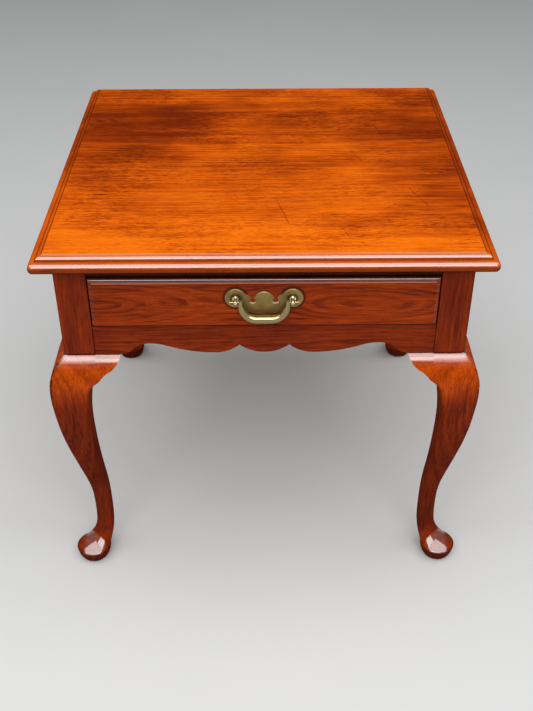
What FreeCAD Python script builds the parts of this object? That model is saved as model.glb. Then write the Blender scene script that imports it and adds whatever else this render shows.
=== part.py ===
"""A square side table on four cabriole legs, with a moulded top and one inset drawer.

Millimetres, +Z up. The origin lies on the floor under the middle of the top, and the drawer
opens towards -Y. Each side of the case has a frame of its own: x runs along the side, y inwards
from the outer face of the posts and z up, so one set of sizes serves all four sides.
"""
import FreeCAD
import Part
import Sketcher
import os
from FreeCAD import Placement, Rotation, Vector

SIZES = {
    # whole table
    "top_width": 610,
    "top_depth": 610,
    "table_height": 565,
    "top_overhang": 25.5,
    # moulded top: a bullnosed shelf, an ovolo and a raised field
    "top_thickness": 22,
    "top_corner_radius": 6,
    "bullnose_radius": 6.5,
    "ovolo_inset": 10.5,
    "ovolo_radius": 5,
    "ovolo_step": 1,
    "field_inset": 17,
    "field_step": 1.5,
    # leg: square post, knee, ankle and pad foot
    "post_size": 44,
    "post_corner_radius": 5,
    "knee_bulge": 24,
    "calf_back_inset": 27,
    "ankle_height": 95,
    "ankle_width": 27,
    "ankle_inset": 22.3,
    "foot_width": 54,
    "foot_inset": 1.6,
    "foot_rim_height": 19.5,
    "foot_base_width": 41,
    "foot_rim_width": 1.4,
    "foot_seat_depth": 3,
    # knee blocks glued under the aprons
    "knee_block_height": 36,
    "knee_block_length": 35.5,
    # aprons with a scalloped lower edge
    "apron_thickness": 19,
    "apron_reveal": 0.6,
    "front_apron_height": 49,
    "drawer_opening": 76,
    "scallop_margin": 4.5,
    "scallop_ogee_run": 37,
    "scallop_rise": 17.5,
    "lobe_place": 67.5,
    "lobe_rise": 1.7,
    "cusp_place": 34.6,
    "cusp_rise": 14.7,
    "centre_rise": 2.3,
    # joinery
    "tenon_gap": 5.9,
    "tenon_thickness": 8,
    "tenon_shoulder": 10,
    "joint_clearance": 0.15,
    "cut_overrun": 5,
    # rails under the top and the wooden drawer slides
    "rail_thickness": 18,
    "rail_setback": 3,
    "rail_tail_length": 18,
    "rail_tail_thickness": 12,
    "rail_tail_neck": 20,
    "rail_tail_width": 26,
    "cleat_width": 19,
    "runner_width": 20,
    "runner_thickness": 21,
    "runner_tenon_length": 8,
    "runner_tenon_width": 10,
    "runner_tenon_height": 9,
    "guide_rise": 17,
    "stop_length": 20,
    "stop_height": 16,
    "slide_clearance": 0.2,
    # drawer
    "drawer_gap": 1,
    "drawer_proud": 4.5,
    "drawer_rear_gap": 38.9,
    "drawer_front_thickness": 21,
    "thumbnail_radius": 4.5,
    "thumbnail_inset": 6,
    "thumbnail_step": 1,
    "drawer_side_thickness": 11,
    "drawer_side_drop": 1.5,
    "drawer_back_thickness": 11,
    "drawer_bottom_thickness": 5,
    "groove_height": 8,
    "groove_depth": 5,
    "front_tail_length": 13,
    # screws and brads
    "screw_diameter": 4,
    "screw_head_diameter": 8.2,
    "screw_tip_length": 3,
    "top_screw_length": 29,
    "guide_screw_length": 34,
    "cross_screw_place": 120,
    "long_screw_place": 130,
    "screw_clearance": 0.1,
    "brad_diameter": 1.8,
    "brad_head_diameter": 3.6,
    "brad_head_thickness": 0.6,
    "brad_length": 24,
    "brad_place": 140,
    # brass pull: backplate, two posts and a swinging bail
    "pull_boring": 76.2,
    "pull_height": 45,
    "plate_thickness": 2,
    "plate_bevel": 0.7,
    "lobe_radius": 14.2,
    "pull_post_diameter": 5.8,
    "pull_collar_diameter": 8.4,
    "pull_collar_thickness": 1.6,
    "pull_standoff": 9.5,
    "pull_post_nose": 3.6,
    "pull_shank_diameter": 4.2,
    "shank_clearance": 0.2,
    "washer_diameter": 11,
    "washer_thickness": 1,
    "nut_width": 8,
    "nut_thickness": 3.2,
    "shank_end": 2,
    "bail_arm_gap": 1.2,
    "bail_drop": 27,
    "bail_bend_radius": 22,
    "bail_arm_diameter": 5,
    "bail_swell_diameter": 12.6,
    "bail_arm_rise": 2.2,
    "pin_diameter": 2.8,
    "pin_end": 8,
    "pin_clearance": 0.06,
}

doc = FreeCAD.newDocument("side_table")
sheet = doc.addObject("Spreadsheet::Sheet", "dims")
for row, (alias, number) in enumerate(SIZES.items(), 1):
    sheet.set(f"A{row}", alias)
    sheet.set(f"B{row}", str(number))
    sheet.setAlias(f"B{row}", alias)
doc.recompute()

# Derived places, written as expressions on the sheet
HALF_X = "(dims.top_width / 2 - dims.top_overhang)"
HALF_Y = "(dims.top_depth / 2 - dims.top_overhang)"
SPAN_X = f"({HALF_X} - dims.post_size)"
SPAN_Y = f"({HALF_Y} - dims.post_size)"
APRON_BACK = "(dims.apron_reveal + dims.apron_thickness)"
POST_TOP = "(dims.table_height - dims.top_thickness)"
RAIL_LOW = f"({POST_TOP} - dims.rail_thickness)"
APRON_TOP = f"({RAIL_LOW} - dims.drawer_opening)"
KNEE_HEIGHT = f"({APRON_TOP} - dims.front_apron_height)"
DRAWER_LOW = f"({APRON_TOP} + dims.drawer_gap)"
RUNNER_TOP = f"({DRAWER_LOW} - dims.slide_clearance)"
RUNNER_LOW = f"({RUNNER_TOP} - dims.runner_thickness)"
RUNNER_MIDDLE = "(dims.post_size + dims.runner_width / 2)"
RAIL_MIDDLE = "((dims.rail_setback + dims.post_size) / 2)"
CLEAT_MIDDLE = f"({APRON_BACK} + dims.cleat_width / 2)"
KICKER_INNER = "(dims.post_size + dims.runner_width)"
KICKER_MIDDLE = f"(({APRON_BACK} + {KICKER_INNER}) / 2)"
GUIDE_SCREW_HEIGHT = f"({RUNNER_TOP} + dims.guide_rise / 2)"
SCREW_HOLE = "(dims.screw_diameter / 2 + dims.screw_clearance)"
SHANK_HOLE = "(dims.pull_shank_diameter / 2 + dims.shank_clearance)"
TENON_FAR = "(dims.apron_reveal + (dims.apron_thickness + dims.tenon_thickness) / 2)"
TENON_LENGTH = f"(dims.post_size - {TENON_FAR} - dims.tenon_gap)"
SPOON_HALF = "(dims.foot_width / 2 - dims.foot_rim_width)"
SCALLOP_FLAT = "(dims.knee_block_length + dims.scallop_margin)"

# Drawer places in its own frame: x across, y inwards from the posts' outer face, z up from its
# lower edge
DRAWER_HALF = f"({SPAN_X} - dims.drawer_gap)"
FRONT_HEIGHT = f"({RAIL_LOW} - {DRAWER_LOW} - dims.drawer_gap)"
FRONT_BACK = "(dims.drawer_front_thickness - dims.drawer_proud)"
DRAWER_END = f"(2 * {HALF_Y} - {APRON_BACK} - dims.drawer_rear_gap)"
DRAWER_BACK = f"({DRAWER_END} - dims.drawer_back_thickness)"
BRAD_ROW = f"({DRAWER_END} - dims.drawer_back_thickness / 2)"
SIDE_TOP = f"({FRONT_HEIGHT} - dims.drawer_side_drop)"
SIDE_INNER = f"({DRAWER_HALF} - dims.drawer_side_thickness)"
BOTTOM_TOP = "(dims.groove_height + dims.drawer_bottom_thickness)"
GROOVE_TOP = f"({BOTTOM_TOP} + dims.joint_clearance)"
PLATE_FACE = "(-dims.drawer_proud - dims.plate_thickness)"
PIN_AXIS = f"({PLATE_FACE} - dims.pull_standoff)"
NUT_SEAT = f"({FRONT_BACK} + dims.washer_thickness)"
ARM_FROM_POST = "((dims.pull_post_diameter + dims.bail_arm_diameter) / 2 + dims.bail_arm_gap)"
BAIL_SPREAD = f"(dims.pull_boring / 2 - {ARM_FROM_POST})"

# The four sides: name, quarter turns, half span between the posts and the face's own place
SIDES = {
    "front": (0, SPAN_X, ("0", f"-{HALF_Y}")),
    "right": (1, SPAN_Y, (HALF_X, "0")),
    "back": (2, SPAN_X, ("0", HALF_Y)),
    "left": (3, SPAN_Y, (f"-{HALF_X}", "0")),
}
QUARTER_TURN = 90


def value(expression):
    """The number that an expression on the sheet stands for."""
    return float(sheet.evalExpression(expression))


def new_body(name):
    body = doc.addObject("PartDesign::Body", name)
    body.Label = name
    return body


def place(item, x="0", y="0", z="0", quarter_turns=0):
    """Turn a piece about the vertical and bind its place to the sheet."""
    item.Placement = Placement(Vector(), Rotation(Vector(0, 0, 1), QUARTER_TURN * quarter_turns))
    for axis, expression in zip("xyz", (x, y, z)):
        item.setExpression(f"Placement.Base.{axis}", expression)
    return item


def place_on_side(item, side, along="0"):
    """Put a piece made in a side's own frame on that side, moved along it."""
    turns, _, (x, y) = SIDES[side]
    shift = f"({along})" if side in ("front", "right") else f"-({along})"
    if side in ("front", "back"):
        return place(item, f"{x} + {shift}", y, quarter_turns=turns)
    return place(item, x, f"{y} + {shift}", quarter_turns=turns)


def new_sketch(body, role, offset="0", across="0"):
    """A sketch on one of the body's origin planes, moved along its normal and its own x."""
    plane = next(item for item in body.Origin.OriginFeatures if item.Role == role)
    sketch = body.newObject("Sketcher::SketchObject", f"{body.Name}_sketch")
    sketch.AttachmentSupport = [(plane, "")]
    sketch.MapMode = "FlatFace"
    sketch.setExpression("AttachmentOffset.Base.x", across)
    sketch.setExpression("AttachmentOffset.Base.z", offset)
    return sketch


def bind(sketch, constraint, expression):
    index = sketch.addConstraint(constraint)
    sketch.setExpression(f"Constraints[{index}]", expression)


def arc_between(start, end, radius, turn):
    """The arc of less than a half circle from start to end, turning left (1) or right (-1)."""
    chord = end - start
    middle = (start + end) / 2
    left = Vector(-chord.y, chord.x, 0).normalize()
    height = max(radius ** 2 - (chord.Length / 2) ** 2, 0) ** 0.5
    return Part.Arc(start, middle - left * turn * (radius - height), end)


def draw_outline(sketch, corners, closed=True):
    """A chain of sides. A corner (x, y) starts a straight side, (x, y, radius, turn) an arc."""
    points = [Vector(value(corner[0]), value(corner[1]), 0) for corner in corners]
    sides = []
    for index, corner in enumerate(corners if closed else corners[:-1]):
        start = points[index]
        end = points[(index + 1) % len(points)]
        if len(corner) == 2:
            shape = Part.LineSegment(start, end)
        else:
            shape = arc_between(start, end, value(corner[2]), corner[3])
        sides.append(sketch.addGeometry(shape, False))

    def end_at(side, point):
        first = sketch.getPoint(side, 1).distanceToPoint(point)
        second = sketch.getPoint(side, 2).distanceToPoint(point)
        return 1 if first < second else 2

    for index, (corner, point) in enumerate(zip(corners, points)):
        side = sides[min(index, len(sides) - 1)]
        here = end_at(side, point)
        if closed or 0 < index < len(sides):
            before = sides[index - 1]
            joint = Sketcher.Constraint("Coincident", before, end_at(before, point), side, here)
            sketch.addConstraint(joint)
        for kind, expression in zip(("DistanceX", "DistanceY"), corner):
            bind(sketch, Sketcher.Constraint(kind, -1, 1, side, here, value(expression)), expression)
        if len(corner) > 2:
            bind(sketch, Sketcher.Constraint("Radius", side, value(corner[2])), corner[2])
    return sketch


def mirrored(half):
    """Both halves of an outline, mirrored about x = 0, the half's last arc crossing the middle."""
    outline = list(half)
    for index in range(len(half) - 1, -1, -1):
        x, y = half[index][:2]
        arc = half[index - 1][2:] if index else ()
        outline.append((f"-({x})", y, *arc))
    return outline


def rectangle(left, right, low, high):
    return [(left, low), (right, low), (right, high), (left, high)]


def draw_circle(sketch, x, y, radius):
    centre = Vector(value(x), value(y), 0)
    circle = sketch.addGeometry(Part.Circle(centre, Vector(0, 0, 1), value(radius)), False)
    bind(sketch, Sketcher.Constraint("DistanceX", -1, 1, circle, 3, value(x)), x)
    bind(sketch, Sketcher.Constraint("DistanceY", -1, 1, circle, 3, value(y)), y)
    bind(sketch, Sketcher.Constraint("Radius", circle, value(radius)), radius)
    return sketch


def pad(body, sketch, length, reverse=False):
    feature = body.newObject("PartDesign::Pad", f"{body.Name}_pad")
    feature.Profile = sketch
    feature.setExpression("Length", length)
    feature.Reversed = reverse
    return feature


def pocket(body, sketch, length, reverse=False):
    """Cut against the sketch's normal, or along it when reversed, and check that wood came away."""
    doc.recompute()
    whole = body.Tip.Shape.Volume
    feature = body.newObject("PartDesign::Pocket", f"{body.Name}_pocket")
    feature.Profile = sketch
    feature.setExpression("Length", length)
    feature.Reversed = reverse
    doc.recompute()
    if not feature.Shape.Volume < whole:
        raise ValueError(f"{feature.Name} cuts nothing")
    return feature


def dress_edges(body, kind, expression, wanted):
    """Fillet or chamfer the edges of the body that the test picks."""
    doc.recompute()
    base = body.Tip
    edges = [f"Edge{number}" for number, edge in enumerate(base.Shape.Edges, 1) if wanted(edge)]
    feature = body.newObject(f"PartDesign::{kind}", f"{body.Name}_{kind.lower()}")
    feature.Base = (base, edges)
    feature.setExpression("Radius" if kind == "Fillet" else "Size", expression)
    return feature


def loft(body, sketches):
    feature = body.newObject("PartDesign::AdditiveLoft", f"{body.Name}_loft")
    feature.Profile = (sketches[0], [""])
    feature.Sections = [(sketch, [""]) for sketch in sketches[1:]]
    return feature


def same(first, second):
    return abs(first - second) < Part.Precision.confusion() ** 0.5


def countersink(body, tests):
    """Open the mouth of clearance holes to take flat screw heads."""
    size = "(dims.screw_head_diameter - dims.screw_diameter) / 2 - dims.screw_clearance"

    def is_mouth(edge):
        round_edge = isinstance(edge.Curve, Part.Circle)
        return round_edge and same(edge.Curve.Radius, value(SCREW_HOLE)) and tests(edge.Curve.Center)

    return dress_edges(body, "Chamfer", size, is_mouth)


# Places of the screws that hold the top, as seen from above
TOP_SCREWS = []
for hand in (-1, 1):
    TOP_SCREWS.append((f"{hand} * dims.cross_screw_place", f"{RAIL_MIDDLE} - {HALF_Y}"))
    TOP_SCREWS.append((f"{hand} * dims.cross_screw_place", f"{HALF_Y} - {CLEAT_MIDDLE}"))
    for end in (-1, 1):
        TOP_SCREWS.append((f"{hand} * ({HALF_X} - {KICKER_MIDDLE})", f"{end} * dims.long_screw_place"))


# Most of a wall's thickness that one of two facing fillets takes
WALL_SHARE = 0.48


# Top: edge-glued boards, moulded all round in three levels
def make_top():
    body = new_body("table_top")
    ovolo_height = "(dims.ovolo_radius + dims.ovolo_step)"
    shelf = f"(dims.top_thickness - dims.field_step - {ovolo_height})"

    def level(inset, low, height):
        half_x = f"(dims.top_width / 2 - {inset})"
        half_y = f"(dims.top_depth / 2 - {inset})"
        sketch = new_sketch(body, "XY_Plane", low)
        draw_outline(sketch, rectangle(f"-{half_x}", half_x, f"-{half_y}", half_y))
        pad(body, sketch, height)

    def is_level(height):
        def test(edge):
            box = edge.BoundBox
            return same(box.ZMin, value(height)) and same(box.ZMax, value(height))
        return test

    level("0", "0", shelf)
    dress_edges(body, "Fillet", "dims.top_corner_radius", lambda edge: not same(edge.BoundBox.ZLength, 0))
    bullnose = f"min(dims.bullnose_radius; {WALL_SHARE} * {shelf})"
    dress_edges(body, "Fillet", bullnose, lambda edge: same(edge.BoundBox.ZLength, 0))
    level("dims.ovolo_inset", shelf, ovolo_height)
    dress_edges(body, "Fillet", "dims.ovolo_radius", is_level(f"{shelf} + {ovolo_height}"))
    level("dims.field_inset", f"{shelf} + {ovolo_height}", "dims.field_step")
    pilots = new_sketch(body, "XY_Plane")
    for x, y in TOP_SCREWS:
        draw_circle(pilots, x, y, SCREW_HOLE)
    pocket(body, pilots, "dims.top_screw_length - dims.rail_thickness + dims.joint_clearance", reverse=True)
    return place(body, z=POST_TOP)


# Outward curve of the knee, from the post's foot down: drop in knee block heights, share of the
# bulge. Legs and knee blocks share it, so their faces run through.
KNEE_CURVE_SHARES = ((0, 0), (0.125, 0.25), (0.33, 0.5), (0.64, 0.735), (1, 0.9), (1.33, 0.975))
# Rest of each knee station: inner line as a share between calf and post, then the corner radii
# of the outer corner and of the other three as shares of the half width
KNEE_INNER_SHARES = (1.2, 1.2, 1.2, 1.2, 1.05, 0.45)
KNEE_CORNER_SHARES = ((0.2, 0.05), (0.2, 0.05), (0.19, 0.05), (0.19, 0.05), (0.21, 0.06), (0.26, 0.25))
# Calf stations from the full knee to the ankle: height, outer line, inner line and corner shares
KNEE_FULL_SHARE = 1.72
CALF_SHARES = (
    (0, 1, 0.4, 0.31, 0.3),
    (0.14, 0.956, 0, 0.44, 0.44),
    (0.354, 0.79, 0, 0.63, 0.6),
    (0.551, 0.516, 0.31, 0.78, 0.78),
    (0.733, 0.228, 0.72, 0.9, 0.9),
    (0.9, 0.03, 0.97, 0.96, 0.96),
    (1, 0, 1, 0.97, 0.97),
)
# Foot stations from the ankle to the seat of the spoon in the pad
FOOT_SHARES = (
    (0.42, 0.02, 0.05),
    (0.6, 0.09, 0.18),
    (0.725, 0.23, 0.36),
    (0.82, 0.43, 0.56),
    (0.885, 0.65, 0.75),
    (0.93, 0.84, 0.89),
    (0.958, 0.955, 0.97),
    (1, 1, 1),
)
FOOT_CORNER_SHARE = 0.97
# Bulge of the pad's turned side: its radius as a share of the foot's width
FOOT_SIDE_SHARE = 0.75
KNEE_FULL = f"({KNEE_HEIGHT} - {KNEE_FULL_SHARE} * dims.knee_block_height)"
FOOT_SEAT = "(dims.foot_rim_height - dims.foot_seat_depth)"


def between(start, end, share):
    return f"({start} + {share} * ({end} - {start}))"


def leg_stations():
    """Height, inner line, outer line and the two corner shares of every section of the leg."""
    for (drop, bulge), inner, corners in zip(KNEE_CURVE_SHARES, KNEE_INNER_SHARES, KNEE_CORNER_SHARES):
        height = f"({KNEE_HEIGHT} - {drop} * dims.knee_block_height)"
        yield (height, f"-{between('dims.calf_back_inset', 'dims.post_size', inner)}",
               f"({bulge} * dims.knee_bulge)", *corners)
    ankle_outer = "(dims.ankle_width / 2 - dims.ankle_inset)"
    ankle_inner = "(-dims.ankle_width / 2 - dims.ankle_inset)"
    for height, outer, inner, corner, other in CALF_SHARES:
        yield (between(KNEE_FULL, "dims.ankle_height", height),
               between("(-dims.calf_back_inset)", ankle_inner, inner),
               between(ankle_outer, "dims.knee_bulge", outer), corner, other)
    spoon_outer = f"({SPOON_HALF} - dims.foot_inset)"
    spoon_inner = f"(-{SPOON_HALF} - dims.foot_inset)"
    for height, outer, inner in FOOT_SHARES:
        yield (between("dims.ankle_height", FOOT_SEAT, height), between(ankle_inner, spoon_inner, inner),
               between(ankle_outer, spoon_outer, outer), FOOT_CORNER_SHARE, FOOT_CORNER_SHARE)


def rounded_square(inner, outer, corner_share, other_share):
    half = f"(({outer} - {inner}) / 2)"
    big = f"({corner_share} * {half})"
    small = f"({other_share} * {half})"
    return [
        (f"{inner} + {small}", inner), (f"{outer} - {small}", inner, small, 1),
        (outer, f"{inner} + {small}"), (outer, f"{outer} - {big}", big, 1),
        (f"{outer} - {big}", outer), (f"{inner} + {small}", outer, small, 1),
        (inner, f"{outer} - {small}"), (inner, f"{inner} + {small}", small, 1),
    ]


# Leg in its own frame: the post's outer corner edge is the z axis, the wood lies towards -x and -y
def make_leg(name, quarter_turns, x, y, front_face=None):
    body = new_body(name)
    post = new_sketch(body, "XY_Plane", KNEE_HEIGHT)
    radius = "dims.post_corner_radius"
    draw_outline(post, [("-dims.post_size", "-dims.post_size"), ("0", "-dims.post_size"),
                        ("0", f"-{radius}", radius, 1), (f"-{radius}", "0"), ("-dims.post_size", "0")])
    pad(body, post, f"{POST_TOP} - {KNEE_HEIGHT}")

    sections = []
    for height, inner, outer, corner, other in leg_stations():
        sections.append(draw_outline(new_sketch(body, "XY_Plane", height),
                                     rounded_square(inner, outer, corner, other)))
    loft(body, sections)

    pad_foot = new_sketch(body, "XZ_Plane", "dims.foot_inset", across="-dims.foot_inset")
    draw_outline(pad_foot, [("0", "0"), ("dims.foot_base_width / 2", "0", f"{FOOT_SIDE_SHARE} * dims.foot_width", 1),
                            ("dims.foot_width / 2", "dims.foot_rim_height"), ("0", "dims.foot_rim_height")])
    turned = body.newObject("PartDesign::Revolution", f"{name}_foot")
    turned.Profile = pad_foot
    turned.ReferenceAxis = (pad_foot, ["V_Axis"])

    # flat glue faces for the knee blocks, in line with the post's inner faces
    beyond = "(2 * dims.post_size)"
    reach = "(dims.knee_bulge + dims.cut_overrun)"
    for corners in (rectangle(f"-{beyond}", "-dims.post_size", f"-{beyond}", reach),
                    rectangle(f"-{beyond}", reach, f"-{beyond}", "-dims.post_size")):
        pocket(body, draw_outline(new_sketch(body, "XY_Plane", KNEE_HEIGHT), corners),
               f"{KNEE_FULL_SHARE} * dims.knee_block_height")

    for face in ("x", "y"):
        mortise(body, face, APRON_TOP if face == front_face else POST_TOP)
    if front_face:
        rail_socket(body, front_face)
    return place(body, x, y, quarter_turns=quarter_turns)


def tenon_section(top, clearance="0"):
    """Across and up limits of an apron tenon, measured inwards from the posts' outer face."""
    side = f"(dims.apron_reveal + (dims.apron_thickness - dims.tenon_thickness) / 2 - {clearance})"
    return (side, f"({side} + dims.tenon_thickness + 2 * {clearance})",
            f"({KNEE_HEIGHT} + dims.tenon_shoulder - {clearance})",
            f"({top} - dims.tenon_shoulder + {clearance})")


def mortise(body, face, top):
    near, far, low, high = tenon_section(top, "dims.joint_clearance")
    corners = rectangle(f"-{far}", f"-{near}", low, high)
    depth = f"{TENON_LENGTH} + dims.joint_clearance"
    if face == "x":
        sketch = new_sketch(body, "YZ_Plane", "-dims.post_size")
    else:
        sketch = new_sketch(body, "XZ_Plane", "dims.post_size")
    pocket(body, draw_outline(sketch, corners), depth, reverse=face == "x")


def rail_tail(clearance="0"):
    """Dovetail on the end of the front top rail: along the rail from the post, then across it."""
    neck = f"(dims.rail_tail_neck / 2 + {clearance})"
    wide = f"(dims.rail_tail_width / 2 + {clearance})"
    reach = f"dims.rail_tail_length + {clearance}"
    return [("0", f"{RAIL_MIDDLE} - {neck}"), (reach, f"{RAIL_MIDDLE} - {wide}"),
            (reach, f"{RAIL_MIDDLE} + {wide}"), ("0", f"{RAIL_MIDDLE} + {neck}")]


def rail_socket(body, face):
    corners = []
    for along, across in rail_tail("dims.joint_clearance"):
        point = (f"{along} - dims.post_size", f"-({across})")
        corners.append(point if face == "x" else point[::-1])
    sketch = draw_outline(new_sketch(body, "XY_Plane", POST_TOP), corners)
    pocket(body, sketch, "dims.rail_tail_thickness + dims.joint_clearance")


# Apron: a board tenoned into two posts, its lower edge sawn to lobes and cusps
OGEE_SHARE = 0.22
SLOPE_SHARE = 0.25


def rise_radius(run, rise):
    """Radius of the arc that leaves level and climbs the rise over the run."""
    return f"((({run}) ^ 2 + ({rise}) ^ 2) / (2 * ({rise})))"


def scallop_half(half_span):
    """Lower edge from the left post to the cusp beside the middle, all arcs level at crests and lows."""
    ogee_start = f"({half_span} - {SCALLOP_FLAT})"
    ogee = rise_radius("dims.scallop_ogee_run", "dims.scallop_rise")
    crest = f"({ogee_start} - dims.scallop_ogee_run)"
    slope_run = f"({crest} - dims.lobe_place)"
    slope_fall = "(dims.scallop_rise - dims.lobe_rise)"
    slope = rise_radius(slope_run, slope_fall)
    lobe = rise_radius("dims.lobe_place - dims.cusp_place", "dims.cusp_rise - dims.lobe_rise")
    centre = rise_radius("dims.cusp_place", "dims.cusp_rise - dims.centre_rise")
    corners = (
        (half_span, "0"),
        (ogee_start, "0", f"({OGEE_SHARE} * {ogee})", 1),
        (between(ogee_start, crest, OGEE_SHARE), f"({OGEE_SHARE} * dims.scallop_rise)",
         f"((1 - {OGEE_SHARE}) * {ogee})", -1),
        (crest, "dims.scallop_rise", f"({SLOPE_SHARE} * {slope})", -1),
        (between(crest, "dims.lobe_place", SLOPE_SHARE),
         between("dims.scallop_rise", "dims.lobe_rise", SLOPE_SHARE), f"((1 - {SLOPE_SHARE}) * {slope})", 1),
        ("dims.lobe_place", "dims.lobe_rise", lobe, 1),
        ("dims.cusp_place", "dims.cusp_rise", centre, 1),
    )
    return [(f"-{x}", f"{KNEE_HEIGHT} + {rise}", *arc) for x, rise, *arc in corners]


def make_apron(side, top):
    body = new_body("front_apron" if side == "front" else f"apron_{side}")
    half_span = SIDES[side][1]
    corners = mirrored(scallop_half(half_span)) + [(half_span, top), (f"-{half_span}", top)]
    board = draw_outline(new_sketch(body, "XZ_Plane", "-dims.apron_reveal"), corners)
    pad(body, board, "dims.apron_thickness", reverse=True)
    tenon = tenon_section(top)
    for hand in (-1, 1):
        end = new_sketch(body, "YZ_Plane", f"{hand} * {half_span}")
        pad(body, draw_outline(end, rectangle(*tenon)), TENON_LENGTH, reverse=hand < 0)
    back = new_sketch(body, "XZ_Plane", f"-{APRON_BACK}")
    if side in ("front", "back"):
        for hand in (-1, 1):
            middle = f"{hand} * ({HALF_X} - {RUNNER_MIDDLE})"
            draw_outline(back, runner_tenon(middle, "dims.joint_clearance"))
        pocket(body, back, "dims.runner_tenon_length + dims.joint_clearance", reverse=True)
    else:
        for hand in (-1, 0, 1):
            draw_circle(back, f"{hand} * dims.long_screw_place", GUIDE_SCREW_HEIGHT, SCREW_HOLE)
        guide_width = f"(dims.post_size - {APRON_BACK})"
        pocket(body, back, f"dims.guide_screw_length - {guide_width} + dims.joint_clearance", reverse=True)
    return place_on_side(body, side)


def runner_tenon(middle, clearance="0"):
    """Section of a runner's end tenon about the runner's middle line."""
    half = f"(dims.runner_tenon_width / 2 + {clearance})"
    low = f"({RUNNER_LOW} + (dims.runner_thickness - dims.runner_tenon_height) / 2 - {clearance})"
    return rectangle(f"{middle} - {half}", f"{middle} + {half}", low,
                     f"{low} + dims.runner_tenon_height + 2 * {clearance}")


# Knee block: carries the knee's curve sideways under the apron and ends in a scroll
def make_knee_block(side, end, hand):
    body = new_body(f"knee_block_{side}_{end}")
    tip = f"({hand} * dims.knee_block_length)"
    left, right = ("0", tip) if hand > 0 else (tip, "0")
    sections = []
    for drop, bulge in KNEE_CURVE_SHARES:
        height = f"({KNEE_HEIGHT} - {drop} * dims.knee_block_height)"
        sketch = new_sketch(body, "XY_Plane", height)
        face = f"-{bulge} * dims.knee_bulge"
        sections.append(draw_outline(sketch, rectangle(left, right, face, APRON_BACK)))
    loft(body, sections)
    waist_shares = (0.45, 0.6)
    cusp_shares = (0.15, 0.88)
    arc_shares = (1.04, 1.15, 0.4)
    foot = f"({KNEE_HEIGHT} - dims.knee_block_height)"
    low = f"({KNEE_HEIGHT} - 2 * dims.knee_block_height)"
    out = f"{tip} + {hand} * dims.cut_overrun"
    scroll = [
        (tip, KNEE_HEIGHT, f"{arc_shares[0]} * dims.knee_block_length", -hand),
        (f"{waist_shares[0]} * {tip}", f"{KNEE_HEIGHT} - {waist_shares[1]} * dims.knee_block_height",
         f"{arc_shares[1]} * dims.knee_block_length", hand),
        (f"{cusp_shares[0]} * {tip}", f"{KNEE_HEIGHT} - {cusp_shares[1]} * dims.knee_block_height",
         f"{arc_shares[2]} * dims.knee_block_length", -hand),
        ("0", foot), ("0", low), (out, low), (out, KNEE_HEIGHT),
    ]
    reach = "dims.knee_bulge + dims.cut_overrun"
    outside = draw_outline(new_sketch(body, "XZ_Plane", reach), scroll)
    pocket(body, outside, f"{reach} + {APRON_BACK} + dims.cut_overrun")
    return place_on_side(body, side, f"{-hand} * {SIDES[side][1]}")


# Front top rail, dovetailed into the tops of the front posts
def make_front_rail():
    body = new_body("front_top_rail")
    board = new_sketch(body, "XY_Plane", RAIL_LOW)
    draw_outline(board, rectangle(f"-{SPAN_X}", SPAN_X, "dims.rail_setback", "dims.post_size"))
    pad(body, board, "dims.rail_thickness")
    for hand in (-1, 1):
        tail = new_sketch(body, "XY_Plane", POST_TOP)
        draw_outline(tail, [(f"{hand} * ({SPAN_X} + {along})", across) for along, across in rail_tail()])
        pad(body, tail, "dims.rail_tail_thickness", reverse=True)
    holes = new_sketch(body, "XY_Plane", RAIL_LOW)
    for hand in (-1, 1):
        draw_circle(holes, f"{hand} * dims.cross_screw_place", RAIL_MIDDLE, SCREW_HOLE)
    pocket(body, holes, "dims.rail_thickness", reverse=True)
    countersink(body, lambda centre: same(centre.z, value(RAIL_LOW)))
    return place_on_side(body, "front")


# Strips under the top: the kickers over the drawer sides and a cleat along the back
def make_top_strip(name, side, half_length, inner, places, middle):
    body = new_body(name)
    strip = new_sketch(body, "XY_Plane", RAIL_LOW)
    draw_outline(strip, rectangle(f"-{half_length}", half_length, APRON_BACK, inner))
    pad(body, strip, "dims.rail_thickness")
    holes = new_sketch(body, "XY_Plane", RAIL_LOW)
    for hand in (-1, 1):
        draw_circle(holes, f"{hand} * {places}", middle, SCREW_HOLE)
    pocket(body, holes, "dims.rail_thickness", reverse=True)
    countersink(body, lambda centre: same(centre.z, value(RAIL_LOW)))
    return place_on_side(body, side)


# Runner under each drawer side, stub-tenoned into the front and back aprons
def make_runner(side):
    body = new_body(f"drawer_runner_{side}")
    half = f"({HALF_Y} - {APRON_BACK})"
    bar = new_sketch(body, "XY_Plane", RUNNER_LOW)
    draw_outline(bar, rectangle(f"-{half}", half, "dims.post_size", "dims.post_size + dims.runner_width"))
    pad(body, bar, "dims.runner_thickness")
    for hand in (-1, 1):
        tenon = new_sketch(body, "YZ_Plane", f"{hand} * {half}")
        draw_outline(tenon, runner_tenon(RUNNER_MIDDLE))
        pad(body, tenon, "dims.runner_tenon_length", reverse=hand < 0)
    return place_on_side(body, side)


# Guide beside each runner: fills the space to the side apron and steers the drawer
def make_guide(side):
    body = new_body(f"drawer_guide_{side}")
    bar = new_sketch(body, "XY_Plane", RUNNER_LOW)
    draw_outline(bar, rectangle(f"-{SPAN_Y}", SPAN_Y, APRON_BACK, "dims.post_size"))
    pad(body, bar, "dims.runner_thickness + dims.guide_rise")
    holes = new_sketch(body, "XZ_Plane", "-dims.post_size")
    for hand in (-1, 0, 1):
        draw_circle(holes, f"{hand} * dims.long_screw_place", GUIDE_SCREW_HEIGHT, SCREW_HOLE)
    pocket(body, holes, f"dims.post_size - {APRON_BACK}", reverse=True)
    countersink(body, lambda centre: same(centre.y, value("dims.post_size")))
    return place_on_side(body, side)


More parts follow.
